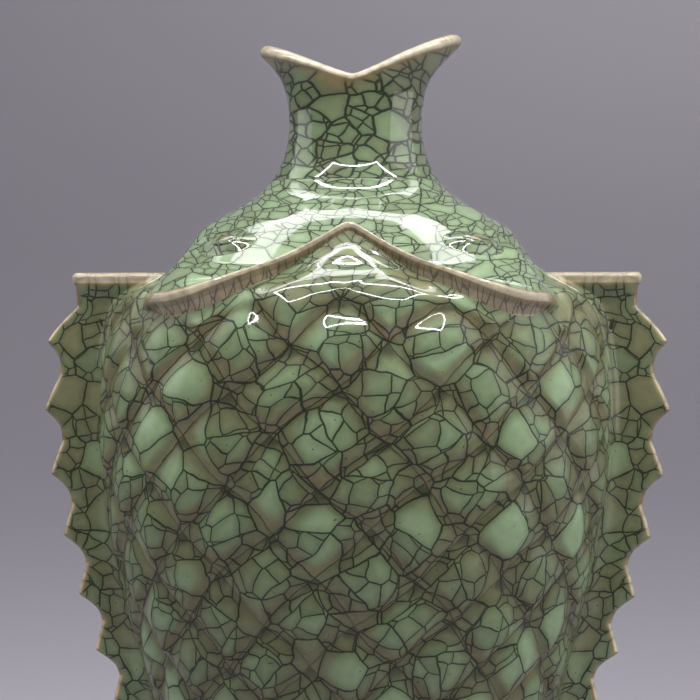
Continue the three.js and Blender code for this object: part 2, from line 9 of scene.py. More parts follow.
import bmesh
import bpy
import numpy as np
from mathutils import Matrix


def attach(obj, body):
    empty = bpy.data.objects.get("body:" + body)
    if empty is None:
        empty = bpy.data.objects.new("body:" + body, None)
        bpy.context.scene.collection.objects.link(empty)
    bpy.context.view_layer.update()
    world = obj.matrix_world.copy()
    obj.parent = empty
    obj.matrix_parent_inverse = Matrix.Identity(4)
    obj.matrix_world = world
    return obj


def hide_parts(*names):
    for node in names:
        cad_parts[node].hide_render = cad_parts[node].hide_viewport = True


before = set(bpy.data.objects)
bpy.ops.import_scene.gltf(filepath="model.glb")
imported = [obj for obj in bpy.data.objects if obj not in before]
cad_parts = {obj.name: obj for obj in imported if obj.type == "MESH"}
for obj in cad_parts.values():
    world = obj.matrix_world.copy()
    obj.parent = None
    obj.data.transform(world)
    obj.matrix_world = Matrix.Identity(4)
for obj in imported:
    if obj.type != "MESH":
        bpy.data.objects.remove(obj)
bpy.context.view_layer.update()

MM = 0.001

# The stations of the fish body: height, half width and half depth.
STATIONS = np.array([
    (8, 43, 31),
    (43, 22, 17.5),
    (109, 49.3, 38.5),
    (178, 63.6, 49.5),
    (210.5, 59.4, 46.3),
    (218.4, 48.7, 38),
    (228.1, 35.5, 27.8),
    (237.4, 20.9, 17.2),
    (245.2, 15.5, 13.2),
    (256, 13.3, 11.6),
    (268.6, 15.6, 12.6),
    (280, 25.4, 17),
])
FOOT_HEIGHT = 8
TAIL_JOINT_HEIGHT = 46
SHOULDER_EDGE_HEIGHT = 210.5
NECK_JOINT_HEIGHT = 240
NECK_WAIST_HEIGHT = 256
BODY_WALL = 4.5
HEAD_THICKNESS = 3.3

# Mouth.
RIM_NOTCH_HEIGHT = 266.4
LOBE_RISES = {-1: 9.2, 1: 11.7}
LOBE_CURVE = 1.4

# Gill covers.
GILL_APEX_HEIGHT = 226.6
GILL_DIP_HEIGHT = 210
GILL_DIP_ANGLE = math.radians(46)
GILL_CORNER_ANGLE = math.radians(55)
GILL_SIDE_ANGLE = math.radians(63)
GILL_SWEEP = 1.6
GILL_APEX_ROUNDING = math.radians(3.5)
GILL_BEAD_WIDTH = 2.8
GILL_BEAD_RISE = 0.75
GILL_SKIRT = 4.8
GILL_SKIRT_AT_CORNER = 0.3
GILL_EDGE_AT_FIN = 0.05
GILL_SHELL_REACH = 17
GILL_INNER_DEPTH = 1.5

# The wall swells under the peak of the gill covers, and its scales are calmed there by the glaze.
PEAK_SWELL = 2.6
PEAK_SWELL_HEIGHTS = (207, 222)
PEAK_SWELL_TURN = 0.36
PEAK_GLOSS_TURN = 0.42
PEAK_GLOSS_HEIGHTS = (190, 204)
PLAIN_GLOSS = 0.3
CALM_HEIGHTS = (208.5, 214)
CALM_SHARE = 0.92
CALM_LIFT = 0.9

# Scales.
SCALES_ROUND = 16
SCALE_FIRST_ROW_HEIGHT = 212
SCALE_PITCH = 11.3
SCALE_ROW_SHRINK = 0.004
SCALE_DRIFT = math.radians(1.2)
SCALE_UNEVENNESS = 0.1
SCALE_STEP = 1.3
SCALE_DOME = 1.2
SCALE_PIT = 0.5
SCALE_CREST = 0.86
SCALE_RIDGE = 0.22
SCALE_RIDGE_WIDTH = 0.05
SCALE_FADE = 6

# Dorsal fins.
FIN_TOP_HEIGHT = 219.4
FIN_TOP_SETBACK = 4.4
FIN_LIP_HEIGHT = 3.2
FIN_FIRST_TOOTH = 17.4
FIN_FIRST_NOTCH = 5.2
FIN_TOOTH_PITCH = 17
FIN_PITCH_RATIO = 0.953
FIN_TEETH = 10
FIN_TOOTH_DEPTH = 4
FIN_REACH_TOP = 16.2
FIN_REACH_END = 8.2
FIN_ROOT_HALF_THICKNESS = 7
FIN_HALF_THICKNESS = 3.2
FIN_EDGE_HALF_THICKNESS = 1.0
FIN_BEVEL = 2.0
FIN_LIP_SWELL = 0.9
FIN_TOP_SOFTENING = 1.1
FIN_ROOT_SINK = 5

# Eyes.
EYE_HEIGHT = 223
EYE_ANGLE = math.radians(42)
EYE_LID_SIZE = (8.0, 6.0, 1.6)
EYE_SINK = 0.5
PUPIL_SIZE = (3.4, 3.4 * 0.82)
PUPIL_RISE = 0.7
PUPIL_SEAT = 0.75

# Tail and foot.
TAIL_RAYS = 20
TAIL_RAY_DEPTH = 1.1
FOOT_RING_INSET = 1.5
FOOT_RING_WIDTH = 11
FOOT_RING_SOFTENING = 0.9


# The vase's skin.

def catmull_rom_line(points, steps=160):
    """A smooth line through the points, with its length at each place."""
    points = np.vstack([2 * points[0] - points[1], points, 2 * points[-1] - points[-2]])
    t = np.linspace(0, 1, steps, endpoint=False)[:, None]
    stretches = []
    for p0, p1, p2, p3 in zip(points, points[1:], points[2:], points[3:]):
        d0, d1, d2 = (math.sqrt(np.linalg.norm(b - a)) for a, b in ((p0, p1), (p1, p2), (p2, p3)))
        start = ((p1 - p0) / d0 - (p2 - p0) / (d0 + d1) + (p2 - p1) / d1) * d1
        end = ((p2 - p1) / d1 - (p3 - p1) / (d1 + d2) + (p3 - p2) / d2) * d1
        stretches.append(p1 + start * t + (3 * (p2 - p1) - 2 * start - end) * t ** 2
                         + (2 * (p1 - p2) + start + end) * t ** 3)
    line = np.vstack([*stretches, points[-2:-1]])
    past_lip = line[-1] + (line[-1] - line[-2]) * steps / 4
    line = np.vstack([line, past_lip])
    lengths = np.concatenate([[0], np.cumsum(np.linalg.norm(np.diff(line, axis=0), axis=1))])
    return line, lengths


LINE, LENGTHS = catmull_rom_line(STATIONS[:, [1, 2, 0]])
RISE = np.gradient(LINE, LENGTHS, axis=0)


def along_at(height):
    """How far along the body line that height is reached."""
    return np.interp(height, LINE[:, 2], LENGTHS)


def on_line(table, along):
    """The half width, half depth and height, or their rises, at that place on the body line."""
    return [np.interp(along, LENGTHS, table[:, axis]) for axis in range(3)]


def skin(along, angle, lift=0.0):
    """Points of the skin, lifted off it along its outward normal: an array whose last axis is x, y, z."""
    along, angle, lift = np.broadcast_arrays(along, angle, lift)
    width, depth, height = on_line(LINE, along)
    width_rise, depth_rise, rise = on_line(RISE, along)
    c, s = np.cos(angle), np.sin(angle)
    normal = np.stack([depth * c * rise, width * s * rise,
                       -(width * depth_rise * s * s + depth * width_rise * c * c)], axis=-1)
    normal /= np.linalg.norm(normal, axis=-1, keepdims=True)
    return np.stack([width * c, depth * s, height], axis=-1) + normal * lift[..., None]


def smoothstep(value, low, high):
    t = np.clip((value - low) / (high - low), 0, 1)
    return t * t * (3 - 2 * t)


def mix(a, b, t):
    return a + (b - a) * t


def gill_height(angle):
    """The gill covers' edge: a peak at the seam, a dip, then a step up to the fin's flat top."""
    away = np.arcsin(np.clip(np.abs(np.cos(angle)), 0, 1))

    def rounded(turn):
        return np.hypot(turn, GILL_APEX_ROUNDING) - GILL_APEX_ROUNDING

    to_dip = np.clip(1 - rounded(away) / rounded(GILL_DIP_ANGLE), 0, None)
    swept = mix(GILL_DIP_HEIGHT, GILL_APEX_HEIGHT, to_dip ** GILL_SWEEP)
    return mix(swept, FIN_TOP_HEIGHT, smoothstep(away, GILL_CORNER_ANGLE, GILL_SIDE_ANGLE))


def rim_height(angle):
    """The rim: lowest in the notches at front and back, highest at the two lobes."""
    rise = np.where(np.cos(angle) > 0, LOBE_RISES[1], LOBE_RISES[-1])
    return RIM_NOTCH_HEIGHT + rise * np.abs(np.cos(angle)) ** LOBE_CURVE


def turn_from_seam(angle, front):
    """The turn from the front seam, or for the back half from the back seam."""
    return (angle + np.where(front, math.pi / 2, -math.pi / 2) + math.pi) % (2 * math.pi) - math.pi


def scale_place(along, from_seam):
    """Where a point lies on the lattice of scales: whole numbers are the slanting lines between scales."""
    down = (along_at(SCALE_FIRST_ROW_HEIGHT) - along) / SCALE_PITCH
    shrunk = (1 - np.sqrt(np.clip(1 - 2 * SCALE_ROW_SHRINK * down, 0.01, None))) / SCALE_ROW_SHRINK
    row = np.where(down > 0, shrunk, down)
    sideways = (from_seam + SCALE_DRIFT * row) * SCALES_ROUND / math.pi
    unevenness = SCALE_UNEVENNESS * np.cos(from_seam) ** 2
    row = row + unevenness * np.sin(2.3 * sideways + 1.1 * row)
    sideways = sideways + unevenness * np.sin(1.9 * row - 0.8 * sideways + 1)
    return (row + sideways) / 2, (row - sideways) / 2


def scale_strength(along, angle):
    """The relief fades under the gill covers, beside the fins and at the tail's joint."""
    _, y, z = np.moveaxis(skin(along, angle), -1, 0)
    below_gill = gill_height(angle) - z
    return (smoothstep(below_gill, GILL_SKIRT - 2, GILL_SKIRT + 2)
            * smoothstep(z - TAIL_JOINT_HEIGHT, 0, SCALE_FADE)
            * smoothstep(np.abs(y) - FIN_ROOT_HALF_THICKNESS, 1, SCALE_FADE))


def scale_lift(a_line, b_line):
    """A scale rises from its upper edges to a crest near its lower ones, then drops to the next scales."""
    a, b = a_line % 1, b_line % 1

    def climb(t):
        return np.where(t < SCALE_CREST, t / SCALE_CREST, 1 - smoothstep(t, SCALE_CREST, 1))

    def near_crest(t):
        return np.exp(-((t - SCALE_CREST) / SCALE_RIDGE_WIDTH) ** 2)

    lower = climb(a) * climb(b)
    dome = np.sin(math.pi * a) * np.sin(math.pi * b)
    ridge = np.maximum(near_crest(a) * b, near_crest(b) * a)
    return SCALE_STEP * lower + SCALE_DOME * dome + SCALE_RIDGE * ridge - SCALE_PIT


# The crackle's chart on the skin, in millimetres.

SEAM_ARC = np.linspace(0, math.pi / 2, 200)
ARC_SPEED = np.hypot(np.cos(SEAM_ARC), 0.78 * np.sin(SEAM_ARC))
ARC_LENGTH = np.concatenate([[0], np.cumsum((ARC_SPEED[1:] + ARC_SPEED[:-1]) / 2 * np.diff(SEAM_ARC))])
BACK_CHART_OFFSET = 700


def glaze_chart(along, from_seam, front):
    """Millimetres round the skin from the front or back seam, and up it: where the crackle is drawn."""
    width = np.interp(along, LENGTHS, LINE[:, 0])
    round_skin = width * np.sign(from_seam) * np.interp(np.abs(from_seam), SEAM_ARC, ARC_LENGTH)
    return np.stack([round_skin + np.where(front, 0, BACK_CHART_OFFSET), along], axis=-1)


# Pieces.

def laid_grid(places, values, chart_name=None, chart=None):
    """A grid whose points lie at the places. Their values are kept on them, and the chart as a UV map."""
    rows, columns = places.shape[:2]
    bm = bmesh.new()
    bmesh.ops.create_grid(bm, x_segments=columns - 1, y_segments=rows - 1, size=0.5)
    made = {key: bm.verts.layers.float.new(key) for key in values}
    uv = bm.loops.layers.uv.new(chart_name) if chart_name else None
    for vert in bm.verts:
        i = round((vert.co.x + 0.5) * (columns - 1))
        j = round((vert.co.y + 0.5) * (rows - 1))
        vert.co = places[j, i]
        for key, layer in made.items():
            vert[layer] = values[key][j, i]
        if uv:
            for corner in vert.link_loops:
                corner[uv].uv = chart[j, i]
    bmesh.ops.remove_doubles(bm, verts=bm.verts, dist=1e-7)
    return bm


def closed_ends(bm):
    open_edges = [edge for edge in bm.edges if edge.is_boundary]
    return bmesh.ops.holes_fill(bm, edges=open_edges, sides=0)["faces"]


def finish_piece(name, node, material, bm, flat_faces=()):
    """Makes the object, which stands for the node and rides on the one body."""
    bmesh.ops.recalc_face_normals(bm, faces=bm.faces)
    for face in bm.faces:
        face.smooth = True
    for face in flat_faces:
        face.smooth = False
    mesh = bpy.data.meshes.new(name)
    bm.to_mesh(mesh)
    bm.free()
    if flat_faces:
        shade_across_seam(mesh)
    piece = bpy.data.objects.new(name, mesh)
    bpy.context.scene.collection.objects.link(piece)
    mesh.materials.append(material)
    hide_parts(node)
    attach(piece, "root")
    return piece


def shade_across_seam(mesh):
    """Lets the light run on over the seam between the two fish, as the glaze covers it."""
    normals = np.zeros(len(mesh.loops) * 3, np.float32)
    mesh.corner_normals.foreach_get("vector", normals)
    normals = normals.reshape(-1, 3)
    vertex = np.zeros(len(mesh.loops), np.int32)
    mesh.loops.foreach_get("vertex_index", vertex)
    places = np.zeros(len(mesh.vertices) * 3, np.float32)
    mesh.vertices.foreach_get("co", places)
    on_seam = (np.abs(places[::3])[vertex] < 1e-6) & (np.abs(normals[:, 0]) < 0.9)
    normals[on_seam, 0] = 0
    normals /= np.linalg.norm(normals, axis=1, keepdims=True)
    mesh.normals_split_custom_set(normals.tolist())


def swept_shell(name, node, material, angles, along, lift, layers):
    """A shell whose closed profile, the rows of along and lift, is swept over the columns of angles.

    Its ends at the seams are closed flat."""
    angle = np.broadcast_to(angles, along.shape)
    bm = laid_grid(skin(along, angle, lift) * MM, {"along": along, "angle": angle, **layers})
    piece = finish_piece(name, node, material, bm, closed_ends(bm))
    draw_glaze_chart(piece.data)


def point_values(mesh, name):
    values = np.zeros(len(mesh.vertices), np.float32)
    mesh.attributes[name].data.foreach_get("value", values)
    return values.astype(float)


def draw_glaze_chart(mesh):
    """The crackle's chart as a UV map, with its joins at the fish backs, under the fins."""
    corner_vertex = np.zeros(len(mesh.loops), np.int32)
    mesh.loops.foreach_get("vertex_index", corner_vertex)
    sizes = np.zeros(len(mesh.polygons), np.int32)
    mesh.polygons.foreach_get("loop_total", sizes)
    centres = np.zeros(len(mesh.polygons) * 3)
    mesh.polygons.foreach_get("center", centres)
    front = np.repeat(centres.reshape(-1, 3)[:, 1] < 0, sizes)
    along = point_values(mesh, "along")[corner_vertex]
    from_seam = turn_from_seam(point_values(mesh, "angle")[corner_vertex], front)
    chart = mesh.uv_layers.new(name="glaze_chart")
    chart.data.foreach_set("uv", glaze_chart(along, from_seam, front).ravel())
    if "relief" in mesh.attributes:
        lattice = mesh.uv_layers.new(name="scale_lattice")
        lattice.data.foreach_set("uv", np.stack(scale_place(along, from_seam), axis=-1).ravel())


SIDES = {"left": -1, "right": 1}


def half_turn(side, columns):
    """The angles of one fish, from seam to seam over its back."""
    start = -math.pi / 2 if SIDES[side] > 0 else math.pi / 2
    return start + np.linspace(0, math.pi, columns)


def fish_body(side, material):
    """The wall of one fish with its scales, from the tail's joint to under the gill covers."""
    angles = half_turn(side, 241)
    outer = np.linspace(along_at(TAIL_JOINT_HEIGHT), along_at(GILL_APEX_HEIGHT) + 2, 270)
    inner = np.linspace(outer[-1], outer[0], 30)
    along = np.concatenate([outer, inner, outer[:1]])[:, None] + np.zeros(len(angles))
    strength = scale_strength(along, angles)
    height = skin(along, angles)[..., 2]
    calm = CALM_SHARE * smoothstep(height, *CALM_HEIGHTS)
    relief = scale_lift(*scale_place(along, turn_from_seam(angles, True)))
    from_seam = turn_from_seam(angles, np.sin(angles) < 0)
    swell_start, swell_end = PEAK_SWELL_HEIGHTS
    swell = np.clip((height - swell_start) / (swell_end - swell_start), 0, 1) ** 1.2
    lift = mix(relief, CALM_LIFT, calm) * strength
    lift += PEAK_SWELL * np.exp(-(from_seam / PEAK_SWELL_TURN) ** 2) * swell
    lift[len(outer):-1] = -BODY_WALL
    near_peak = np.exp(-(from_seam / PEAK_GLOSS_TURN) ** 4) * smoothstep(height, *PEAK_GLOSS_HEIGHTS)
    layers = {"relief": strength * (1 - calm), "gloss": mix(PLAIN_GLOSS, 1, near_peak)}
    swept_shell(side + "_scaled_side", side + "_fish_scaled_body", material,
                angles, along, lift, layers)


def fish_head(side, material):
    """The shoulder shell of one fish, with the bead and the hollow skirt of its gill covers."""
    angles = half_turn(side, 221)
    edge = along_at(gill_height(angles))
    joint = float(along_at(NECK_JOINT_HEIGHT))
    shoulder_steps = np.linspace(0, 1, 70)[:, None]
    bead_steps = np.linspace(0, 1, 12)[1:, None]
    skirt_steps = np.linspace(0, 1, 14)[1:, None]
    inner_steps = np.linspace(0, 1, 12)[:, None]
    away = np.arcsin(np.abs(np.cos(angles)))
    beside_fin = smoothstep(away, GILL_DIP_ANGLE + 0.02, GILL_SIDE_ANGLE - 0.05)
    near_corner = smoothstep(away, GILL_DIP_ANGLE - 0.1, GILL_CORNER_ANGLE)
    skirt_length = GILL_SKIRT * mix(1, GILL_SKIRT_AT_CORNER, near_corner)
    bead_rise = GILL_BEAD_RISE * (1 - beside_fin)
    across = np.vstack([
        mix(joint - edge, GILL_BEAD_WIDTH, shoulder_steps),
        mix(GILL_BEAD_WIDTH, 0, bead_steps) + 0 * edge,
        mix(0, -skirt_length, skirt_steps),
        mix(-skirt_length, joint - edge, inner_steps),
        joint - edge[None],
    ])
    skirt_sink = 0.1
    shoulder = across[:len(shoulder_steps)]
    edge_thickness = HEAD_THICKNESS * mix(1, GILL_EDGE_AT_FIN, beside_fin)
    lift = np.vstack([
        mix(edge_thickness, HEAD_THICKNESS, smoothstep(shoulder, GILL_BEAD_WIDTH, GILL_SHELL_REACH)),
        edge_thickness + bead_rise * np.sin(math.pi * bead_steps ** 0.8),
        mix(-skirt_sink, edge_thickness, (1 - skirt_steps) ** 4),
        -GILL_INNER_DEPTH + 0 * (inner_steps + edge),
        HEAD_THICKNESS + 0 * edge[None],
    ])
    along = edge + across
    edge_places = skin(edge, angles, HEAD_THICKNESS)
    edge_length = np.concatenate([[0], np.cumsum(np.linalg.norm(np.diff(edge_places, axis=0), axis=1))])
    bead = smoothstep(across, -0.7, 0.3) * (1 - smoothstep(across, 1.3, GILL_BEAD_WIDTH + 0.3))
    skirt = 1 - smoothstep(across, -0.8, 0.2)
    # The bead's cream is partly a painted highlight, and the skirt is lifted towards cream to paint light
    # into its shade.
    layers = {
        "thin_and_highlight": np.maximum(bead, 0.84 * skirt) * (1 - beside_fin),
        "smooth": bead * (1 - 0.7 * beside_fin),
        "edge_along": edge_length + 0 * across,
        "edge_across": across,
        "edge_share": (1 - smoothstep(across, 0, 0.6)) * (1 - beside_fin),
    }
    swept_shell(side + "_gill_cover", side + "_fish_head", material,
                angles, along, lift, layers)


def fish_mouth(side, material):
    """The neck of one fish and its lobe of the flared lip."""
    angles = half_turn(side, 121)
    rim = along_at(rim_height(angles))
    joint = float(along_at(NECK_JOINT_HEIGHT))
    waist = float(along_at(NECK_WAIST_HEIGHT))
    lip_radius = HEAD_THICKNESS / 2
    outer_steps = np.linspace(0, 1, 60)[:, None]
    lip_turn = np.linspace(0, math.pi, 12)[1:-1, None]
    inner_steps = np.linspace(0, 1, 44)[:, None]
    inner_along = mix(rim, joint, inner_steps)
    along = np.vstack([
        mix(joint, rim, outer_steps),
        rim + lip_radius * np.sin(lip_turn),
        inner_along,
        joint + 0 * rim[None],
    ])
    lift = np.vstack([
        HEAD_THICKNESS + 0 * (outer_steps + rim),
        lip_radius * (1 + np.cos(lip_turn)) + 0 * rim,
        -BODY_WALL * (1 - smoothstep(inner_along, joint, waist)),
        HEAD_THICKNESS + 0 * rim[None],
    ])
    below_rim = rim - along
    # Tan where the glaze thins below the rim, and cream along its top, partly a painted highlight.
    layers = {
        "thin_and_highlight": 0.42 * (1 - smoothstep(below_rim, 2, 5)) + 0.58 * (1 - smoothstep(below_rim, -0.8, 1)),
        "smooth": 1 - smoothstep(below_rim, 0.4, 1.6),
    }
    swept_shell(side + "_lip_and_neck", side + "_fish_mouth", material,
                angles, along, lift, layers)


def fish_tail(side, material):
    """The flared tail of one fish, with rays that fade out towards the waist."""
    angles = half_turn(side, 201)
    low, high = float(along_at(FOOT_HEIGHT)), float(along_at(TAIL_JOINT_HEIGHT))
    outer_steps = np.linspace(0, 1, 60)[:, None]
    inner_steps = np.linspace(0, 1, 16)[:, None]
    along = np.vstack([mix(low, high, outer_steps) + 0 * angles, mix(high, low, inner_steps) + 0 * angles,
                       low + 0 * angles[None]])
    valley = 0.5 - 0.5 * np.cos(TAIL_RAYS * angles)
    depth = TAIL_RAY_DEPTH * (1 - smoothstep(outer_steps, 0, 1)) * valley
    rolled_hem = 0.9 * (1 - smoothstep(outer_steps, 0, 0.05)) ** 2
    outside = -depth - rolled_hem
    lift = np.vstack([outside, -BODY_WALL + 0 * (inner_steps + angles), outside[:1]])
    crest = (1 - smoothstep(valley, 0, 0.25)) * (1 - smoothstep(along, low + 14, low + 34))
    layers = {"thin_and_highlight": np.maximum(0.5 * crest, 1 - smoothstep(along, low, low + 2.6))}
    swept_shell(side + "_tail_fan", side + "_fish_tail", material,
                angles, along, lift, layers)


def fin_notch(heights):
    """How far the fin's edge stands back from its line of tips."""
    notch = np.zeros_like(heights)
    tip, pitch = FIN_TOP_HEIGHT - FIN_FIRST_TOOTH, FIN_TOOTH_PITCH
    valley = FIN_TOP_HEIGHT - FIN_FIRST_TOOTH / 2
    upper = heights > tip
    to_valley = smoothstep(heights, valley, FIN_TOP_HEIGHT - FIN_LIP_HEIGHT)
    notch[upper] = mix(FIN_FIRST_NOTCH, FIN_TOP_SETBACK + 1, to_valley)[upper]
    first_flank = upper & (heights < valley)
    notch[first_flank] = FIN_FIRST_NOTCH * ((heights[first_flank] - tip) / (valley - tip)) ** 1.15
    under_lip = (heights - (FIN_TOP_HEIGHT - FIN_LIP_HEIGHT / 2)) / (FIN_LIP_HEIGHT / 2)
    lip = np.abs(under_lip) < 1
    notch[lip] = FIN_TOP_SETBACK + 1 - np.sqrt(1 - under_lip[lip] ** 2)
    for _ in range(FIN_TEETH):
        down = (tip - heights) / pitch
        tooth = (down >= 0) & (down < 1)
        hook = 1 - (1 - np.clip(down / 0.34, 0, 1)) ** 1.8
        flank = np.clip((1 - down) / 0.52, 0, 1) ** 1.1
        notch[tooth] = FIN_TOOTH_DEPTH * np.minimum(hook, flank)[tooth]
        tip -= pitch
        pitch *= FIN_PITCH_RATIO
    below = heights <= tip
    notch[below] = mix(0, FIN_REACH_END - FIN_BEVEL, np.clip((tip - heights[below]) / (pitch / 2), 0, 1))
    return notch, tip - pitch / 2


def dorsal_fin(side, material):
    """A fin with a rolled flat top and hooked teeth, level section by level section."""
    _, lowest = fin_notch(np.array([FIN_TOP_HEIGHT]))
    heights = np.linspace(FIN_TOP_HEIGHT, lowest, 380)
    notch, _ = fin_notch(heights)
    notch = np.convolve(np.pad(notch, 1, mode="edge"), [0.25, 0.5, 0.25], mode="valid")
    root = on_line(LINE, along_at(heights))[0]
    beside = on_line(LINE, along_at(np.minimum(heights, SHOULDER_EDGE_HEIGHT)))[0]
    down = (FIN_TOP_HEIGHT - heights) / (FIN_TOP_HEIGHT - lowest)
    edge = beside + np.maximum(FIN_BEVEL, mix(FIN_REACH_TOP, FIN_REACH_END, down) - notch)
    thinning = mix(1, FIN_REACH_END / FIN_REACH_TOP, down)
    fillet = FIN_ROOT_HALF_THICKNESS - FIN_HALF_THICKNESS
    hollow = np.linspace(0, math.pi / 2, 9)
    face = np.linspace(0, 1, 12)[1:, None]
    bevel = np.linspace(0, 1, 7)[1:, None]
    out = np.vstack([
        root - FIN_ROOT_SINK + 0 * root[None],
        root + fillet * (1 - np.cos(hollow))[:, None],
        mix(root + fillet, edge - FIN_BEVEL, face),
        mix(edge - FIN_BEVEL, edge, np.sin(bevel * math.pi / 2)),
    ])
    half = np.vstack([
        FIN_ROOT_HALF_THICKNESS + 0 * root[None],
        (FIN_ROOT_HALF_THICKNESS - fillet * np.sin(hollow))[:, None] + 0 * root,
        FIN_HALF_THICKNESS + 0 * (face + root),
        mix(FIN_HALF_THICKNESS, FIN_EDGE_HALF_THICKNESS, 1 - np.cos(bevel * math.pi / 2)) + 0 * root,
    ]) * thinning
    lip_foot = FIN_TOP_HEIGHT - FIN_LIP_HEIGHT
    lip_swell = FIN_LIP_SWELL * smoothstep(heights, lip_foot - FIN_LIP_HEIGHT, lip_foot)
    near_top = np.clip((heights - FIN_TOP_HEIGHT) / FIN_TOP_SOFTENING + 1, 0, 1)
    half = (half + lip_swell * smoothstep(out, root, root + 4)) * np.sqrt(np.clip(1 - near_top ** 2, 0.02, 1))
    out = np.minimum(out, edge)
    out, half = np.vstack([out, out[::-1]]), np.vstack([-half, half[::-1]])
    from_edge = np.clip(edge - out, 0, None)
    # The flat top lip and the teeth's upper flanks are painted cream as a highlight, over the tan of the thin
    # glaze along the edge.
    lip_share = smoothstep(heights, lip_foot - 0.6, lip_foot + 0.8) + 0 * out
    upper_flank_highlight = smoothstep(np.gradient(notch, heights), -0.1, 0.2)
    rim_share = (1 - smoothstep(from_edge, 0.4, 2.2)) * (0.45 + 0.55 * upper_flank_highlight)
    layers = {
        "thin_and_highlight": np.maximum(rim_share, lip_share),
        "smooth": np.maximum(0.8 * lip_share, 0.7 * (from_edge < 1.4)),
    }
    places = np.stack([SIDES[side] * out, half, heights + 0 * out], axis=-1) * MM
    chart = np.stack([out - beside, heights + np.where(half < 0, 0, BACK_CHART_OFFSET)], axis=-1)
    bm = laid_grid(places, layers, "fin_chart", chart)
    closed_ends(bm)
    finish_piece(side + "_toothed_fin", side + "_dorsal_fin", material, bm)


def eye_button(name, node, material, side, face, size, profile, worn=0.0):
    """A rounded button on the shoulder, drawn on the skin so that the glaze runs over it."""
    half_width, half_length = size
    centre_angle = (1 if face == "back" else -1) * (math.pi / 2 - SIDES[side] * EYE_ANGLE)
    centre_along = float(along_at(EYE_HEIGHT))
    around = np.linspace(0, 2 * math.pi, 65)
    reach = np.linspace(0, 1, 24)
    radius = np.concatenate([reach, reach[-2::-6], [0]])[:, None]
    width, depth, _ = on_line(LINE, centre_along)
    per_radian = math.hypot(width * math.sin(centre_angle), depth * math.cos(centre_angle))
    angle = centre_angle + radius * np.cos(around) * half_width / per_radian
    along = centre_along + radius * np.sin(around) * half_length
    lift = HEAD_THICKNESS + profile(radius) + 0 * angle
    lift[len(reach):] = HEAD_THICKNESS - EYE_SINK
    thin_and_highlight = worn * (1 - smoothstep(radius, 0.2, 0.9)) + 0 * along
    bm = laid_grid(skin(along, angle, lift) * MM, {"along": along, "angle": angle, "thin_and_highlight": thin_and_highlight})
    piece = finish_piece(name, node, material, bm)
    draw_glaze_chart(piece.data)


def lid_profile(radius):
    return EYE_LID_SIZE[2] * np.clip(1 - radius ** 2, 0, 1) ** 1.5


def pupil_profile(radius):
    return EYE_LID_SIZE[2] * PUPIL_SEAT + PUPIL_RISE * np.sqrt(np.clip(1 - radius ** 2, 0, 1))


# Materials.

def srgb(red, green, blue):
    """A colour as it looks on a screen, from 0 to 255, in the units that the shaders use."""
    return tuple(c / 12.92 if c <= 0.04045 else ((c + 0.055) / 1.055) ** 2.4
                 for c in (red / 255, green / 255, blue / 255)) + (1,)


class Amount:
    """A number that varies over a surface. Sums on it add its Math nodes."""

    def __init__(self, recipe, socket):
        self.recipe = recipe
        self.socket = socket

    def math(self, operation, *values):
        return self.recipe.amount("Math", {"operation": operation}, dict(enumerate(values)))

    def __add__(self, other):
        return self.math("ADD", self, other)

    __radd__ = __add__

    def __mul__(self, other):
        return self.math("MULTIPLY", self, other)

    __rmul__ = __mul__

    def __sub__(self, other):
        return self.math("SUBTRACT", self, other)

    def __rsub__(self, other):
        return self.math("SUBTRACT", other, self)

    def over(self, other):
        return self.math("MAXIMUM", self, other)

    def under(self, other):
        return self.math("MINIMUM", self, other)

    def above(self, level):
        return self.math("GREATER_THAN", self, level)

    def wave(self, shape):
        """A sine or cosine that repeats at every whole number."""
        return self.math(shape, self * (2 * math.pi))

    def to_whole(self):
        """How far the number is from the nearest whole number."""
        return self.math("PINGPONG", self, 0.5)

    def ramp(self, low, high, start=0.0, end=1.0):
        """A smooth rise from start to end while the number goes from low to high."""
        sockets = {"Value": self, "From Min": low, "From Max": high, "To Min": start, "To Max": end}
        return self.recipe.amount("MapRange", {"interpolation_type": "SMOOTHSTEP"}, sockets)


